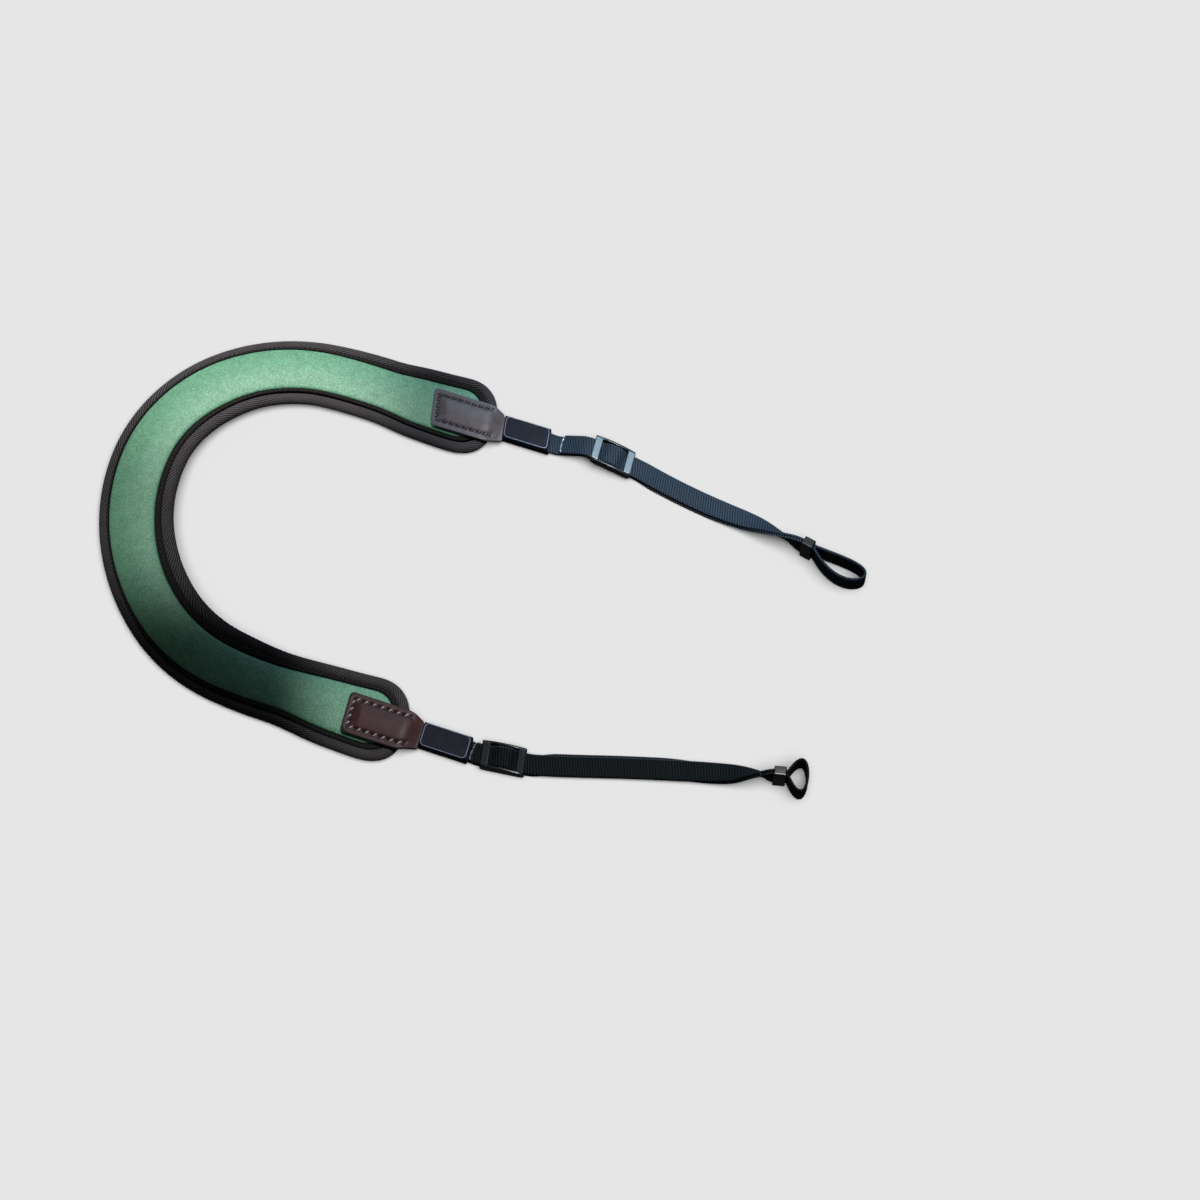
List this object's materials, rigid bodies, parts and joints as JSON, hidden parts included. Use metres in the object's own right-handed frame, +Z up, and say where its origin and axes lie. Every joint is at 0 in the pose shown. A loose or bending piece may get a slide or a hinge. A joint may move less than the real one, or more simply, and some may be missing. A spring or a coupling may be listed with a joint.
{
  "type": "binocular neck strap",
  "caption": "Padded neck strap for binoculars lying in a U, with leather tabs, webbing arms, plastic slides and lug loops.",
  "frame": {"origin": "middle of the strap's footprint, on the surface it lies on", "axes": "+X toward the lug loops, +Y toward the upper arm, +Z up"},
  "size_m": [0.3514, 0.233, 0.0138],
  "materials": {
    "foam": "matt closed-cell foam",
    "jersey": "mottled green knitted jersey",
    "twill": "charcoal ribbed twill",
    "leather": "dark brown, satin",
    "sleeve_hide": "smooth dark navy, satin",
    "webbing": "ribbed navy-black webbing",
    "plastic": "moulded black"
  },
  "bodies": {
    "root": {"pad_core": "foam", "face_panel": "jersey", "edge_binding": "twill", "upper_tab": "leather", "lower_tab": "leather", "upper_sleeve": "sleeve_hide", "lower_sleeve": "sleeve_hide", "upper_webbing": "webbing", "lower_webbing": "webbing", "upper_buckle": "plastic", "lower_buckle": "plastic", "upper_keeper": "plastic", "lower_keeper": "plastic"}
  },
  "joints": []
}
